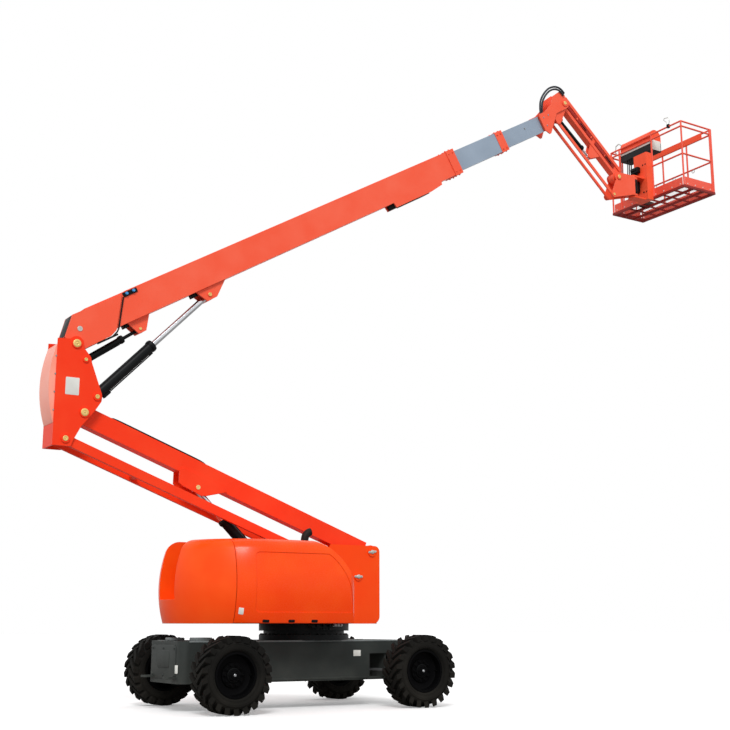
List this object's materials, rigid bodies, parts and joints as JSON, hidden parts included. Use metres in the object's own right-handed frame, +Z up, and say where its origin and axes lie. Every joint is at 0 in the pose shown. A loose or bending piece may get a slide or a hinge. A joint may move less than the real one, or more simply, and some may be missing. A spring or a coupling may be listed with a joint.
{
  "type": "articulated boom lift",
  "caption": "Self-propelled articulated boom lift: lugged-tyre chassis, slewing turntable with counterweight, parallel-link tower, telescopic boom, jib and railed work platform.",
  "frame": {"origin": "on the ground, under the middle of the whole machine's bounding box in the pictured pose", "axes": "+X along the machine towards the steered end and the platform, +Y to the left, +Z up"},
  "size_m": [11.0992, 2.46, 9.7357],
  "materials": {
    "orange_paint": "satin paint",
    "moulded_cover": "gloss moulding",
    "counterweight_iron": "gloss paint",
    "chassis_paint": "satin paint",
    "black_paint": "satin paint",
    "rod_steel": "hard chrome",
    "boom_tube": "satin paint",
    "engine_metal": "cast",
    "tyre": "matt rubber",
    "console_plastic": "moulded"
  },
  "bodies": {
    "chassis": {"chassis_frame": "chassis_paint", "rear_hubs": "black_paint", "steer_axle": "black_paint", "slewing_ring": "black_paint"},
    "knuckle_left": {"knuckle_left": "black_paint"},
    "knuckle_right": {"knuckle_right": "black_paint"},
    "tie_rod": {"tie_rod": "rod_steel"},
    "wheel_rear_left": {"rim_rear_left": "black_paint", "tyre_rear_left": "tyre"},
    "wheel_rear_right": {"rim_rear_right": "black_paint", "tyre_rear_right": "tyre"},
    "wheel_front_left": {"rim_front_left": "black_paint", "tyre_front_left": "tyre"},
    "wheel_front_right": {"rim_front_right": "black_paint", "tyre_front_right": "tyre"},
    "turntable": {"turntable_frame": "orange_paint", "counterweight": "counterweight_iron", "engine": "engine_metal", "exhaust_pipe": "black_paint"},
    "hood_left": {"hood_left": "moulded_cover"},
    "hood_right": {"hood_right": "moulded_cover"},
    "tower_upper": {"tower_upper_arm": "orange_paint"},
    "tower_lower": {"tower_lower_arm": "orange_paint"},
    "tower_rod": {"tower_rod": "rod_steel"},
    "tower_barrel": {"tower_barrel": "black_paint"},
    "upright": {"upright_frame": "orange_paint", "upright_cover": "moulded_cover"},
    "boom_outer": {"boom_outer": "orange_paint"},
    "boom_middle": {"boom_middle": "boom_tube", "middle_collar": "orange_paint"},
    "boom_inner": {"boom_inner": "boom_tube", "boom_head": "orange_paint"},
    "lift_rod": {"lift_rod": "rod_steel"},
    "lift_barrel": {"lift_barrel": "black_paint"},
    "level_rod": {"level_rod": "rod_steel"},
    "level_barrel": {"level_barrel": "black_paint"},
    "jib_casting": {"jib_casting": "orange_paint"},
    "jib_arm": {"jib_arm": "orange_paint"},
    "jib_link": {"jib_link": "orange_paint"},
    "jib_rod": {"jib_rod": "rod_steel"},
    "jib_barrel": {"jib_barrel": "black_paint"},
    "jib_end": {"jib_end": "orange_paint"},
    "platform": {"platform_support": "orange_paint", "platform_floor": "orange_paint", "rails_front": "orange_paint", "front_board": "orange_paint", "rails_back": "orange_paint", "rails_right": "orange_paint", "rails_left": "orange_paint", "control_box": "console_plastic", "console_cover": "orange_paint"},
    "gate": {"gate": "orange_paint"}
  },
  "joints": [
    {"name": "rear_left_wheel_spin", "type": "hinge", "parent": "chassis", "child": "wheel_rear_left", "pos_m": [-3.46606, 1.06, 0.45], "axis": [0, 1, 0], "continuous": true},
    {"name": "rear_right_wheel_spin", "type": "hinge", "parent": "chassis", "child": "wheel_rear_right", "pos_m": [-3.46606, -1.06, 0.45], "axis": [0, 1, 0], "continuous": true},
    {"name": "steer_left", "type": "hinge", "parent": "chassis", "child": "knuckle_left", "pos_m": [-0.81606, 0.76, 0.45], "axis": [0, 0, 1], "range_deg": [-35, 35]},
    {"name": "steer_right", "type": "hinge", "parent": "chassis", "child": "knuckle_right", "pos_m": [-0.81606, -0.76, 0.45], "axis": [0, 0, 1], "range_deg": [-36, 36]},
    {"name": "tie_rod_pivot", "type": "hinge", "parent": "knuckle_left", "child": "tie_rod", "pos_m": [-1.05606, 0.76, 0.45], "axis": [0, 0, 1], "range_deg": [-36, 36]},
    {"name": "front_left_wheel_spin", "type": "hinge", "parent": "knuckle_left", "child": "wheel_front_left", "pos_m": [-0.81606, 1.06, 0.45], "axis": [0, 1, 0], "continuous": true},
    {"name": "front_right_wheel_spin", "type": "hinge", "parent": "knuckle_right", "child": "wheel_front_right", "pos_m": [-0.81606, -1.06, 0.45], "axis": [0, 1, 0], "continuous": true},
    {"name": "turntable_slew", "type": "hinge", "parent": "chassis", "child": "turntable", "pos_m": [-1.92106, 0, 1.04], "axis": [0, 0, 1], "continuous": true},
    {"name": "hood_left_lift", "type": "hinge", "parent": "turntable", "child": "hood_left", "pos_m": [-2.91106, 0.253, 2.028], "axis": [1, 0, 0], "range_deg": [0, 65]},
    {"name": "hood_right_lift", "type": "hinge", "parent": "turntable", "child": "hood_right", "pos_m": [-2.91106, -0.253, 2.028], "axis": [-1, 0, 0], "range_deg": [0, 65]},
    {"name": "tower_lift", "type": "hinge", "parent": "turntable", "child": "tower_upper", "pos_m": [-0.98606, 0, 1.994], "axis": [0, 1, 0], "range_deg": [-22.6, 47.4]},
    {"name": "tower_link", "type": "hinge", "parent": "turntable", "child": "tower_lower", "pos_m": [-1.20606, 0, 1.659], "axis": [0, 1, 0], "range_deg": [-23.1, 47.9]},
    {"name": "upright_level", "type": "hinge", "parent": "tower_upper", "child": "upright", "pos_m": [-5.09162, 0, 3.53718], "axis": [0, 1, 0], "range_deg": [-47.9, 23.1]},
    {"name": "tower_rod_pivot", "type": "hinge", "parent": "tower_upper", "child": "tower_rod", "pos_m": [-3.53032, 0, 2.73132], "axis": [0, -1, 0], "range_deg": [-1.52, 2.63]},
    {"name": "tower_barrel_slide", "type": "slide", "parent": "tower_rod", "child": "tower_barrel", "axis": [0.7201, 0, -0.6939], "range_m": [-0.4649, 0.9696]},
    {"name": "boom_lift", "type": "hinge", "parent": "upright", "child": "boom_outer", "pos_m": [-5.23162, 0, 4.37818], "axis": [0, -1, 0], "range_deg": [-32.6, 41.4]},
    {"name": "lift_rod_pivot", "type": "hinge", "parent": "boom_outer", "child": "lift_rod", "pos_m": [-3.4465, 0, 5.28867], "axis": [0, -1, 0], "range_deg": [-2.65, 2.19]},
    {"name": "lift_barrel_slide", "type": "slide", "parent": "lift_rod", "child": "lift_barrel", "axis": [-0.696, 0, -0.718], "range_m": [-0.3836, 0.4859]},
    {"name": "level_rod_pivot", "type": "hinge", "parent": "boom_outer", "child": "level_rod", "pos_m": [-4.382, 0, 4.70172], "axis": [0, -1, 0], "range_deg": [-1.53, 1.31]},
    {"name": "level_barrel_slide", "type": "slide", "parent": "level_rod", "child": "level_barrel", "axis": [-0.8177, 0, -0.5757], "range_m": [-0.1239, 0.156]},
    {"name": "boom_extend", "type": "slide", "parent": "boom_outer", "child": "boom_middle", "axis": [0.8607, 0, 0.509], "range_m": [-0.88, 3.2]},
    {"name": "inner_extend", "type": "slide", "parent": "boom_middle", "child": "boom_inner", "axis": [0.8607, 0, 0.509], "range_m": [-0.885, 3.205]},
    {"name": "jib_level", "type": "hinge", "parent": "boom_inner", "child": "jib_casting", "pos_m": [2.85844, 0, 9.53207], "axis": [0, -1, 0], "range_deg": [-41.9, 33.1]},
    {"name": "jib_lift", "type": "hinge", "parent": "jib_casting", "child": "jib_arm", "pos_m": [2.85844, 0, 9.53207], "axis": [0, 1, 0], "range_deg": [-96, 16.6]},
    {"name": "jib_link_pivot", "type": "hinge", "parent": "jib_casting", "child": "jib_link", "pos_m": [2.73844, 0, 9.19707], "axis": [0, 1, 0], "range_deg": [-96.5, 17.1]},
    {"name": "jib_end_level", "type": "hinge", "parent": "jib_arm", "child": "jib_end", "pos_m": [4.04362, 0, 8.4872], "axis": [0, 1, 0], "range_deg": [-17.1, 96.5]},
    {"name": "jib_rod_pivot", "type": "hinge", "parent": "jib_arm", "child": "jib_rod", "pos_m": [3.45422, 0, 8.75619], "axis": [0, -1, 0], "range_deg": [-2.9, 0.92]},
    {"name": "jib_barrel_slide", "type": "slide", "parent": "jib_rod", "child": "jib_barrel", "axis": [-0.7746, 0, 0.6324], "range_m": [-0.0753, 0.4113]},
    {"name": "platform_turn", "type": "hinge", "parent": "jib_end", "child": "platform", "pos_m": [4.45862, 0, 8.2222], "axis": [0, 0, 1], "range_deg": [-85, 85]},
    {"name": "gate_swing", "type": "hinge", "parent": "platform", "child": "gate", "pos_m": [5.53062, 0.845, 8.2222], "axis": [0, 0, 1], "range_deg": [0, 75]}
  ],
  "couplings": [
    {"joint": "steer_right", "follows": "steer_left", "ratio": 1},
    {"joint": "tie_rod_pivot", "follows": "steer_left", "ratio": -1},
    {"joint": "tower_link", "follows": "tower_lift", "ratio": 1},
    {"joint": "upright_level", "follows": "tower_lift", "ratio": -1},
    {"joint": "tower_rod_pivot", "follows": "tower_lift", "ratio": 0.045},
    {"joint": "tower_barrel_slide", "follows": "tower_lift", "m_per_rad": 1.166},
    {"joint": "lift_rod_pivot", "follows": "boom_lift", "ratio": -0.0519},
    {"joint": "lift_barrel_slide", "follows": "boom_lift", "m_per_rad": 0.66548},
    {"joint": "level_rod_pivot", "follows": "boom_lift", "ratio": -0.025},
    {"joint": "level_barrel_slide", "follows": "boom_lift", "m_per_rad": 0.20899},
    {"joint": "inner_extend", "follows": "boom_extend", "ratio": 1},
    {"joint": "jib_level", "follows": "boom_lift", "ratio": -1},
    {"joint": "jib_link_pivot", "follows": "jib_lift", "ratio": 1},
    {"joint": "jib_end_level", "follows": "jib_lift", "ratio": -1},
    {"joint": "jib_rod_pivot", "follows": "jib_lift", "ratio": 0.025},
    {"joint": "jib_barrel_slide", "follows": "jib_lift", "m_per_rad": -0.24252}
  ]
}
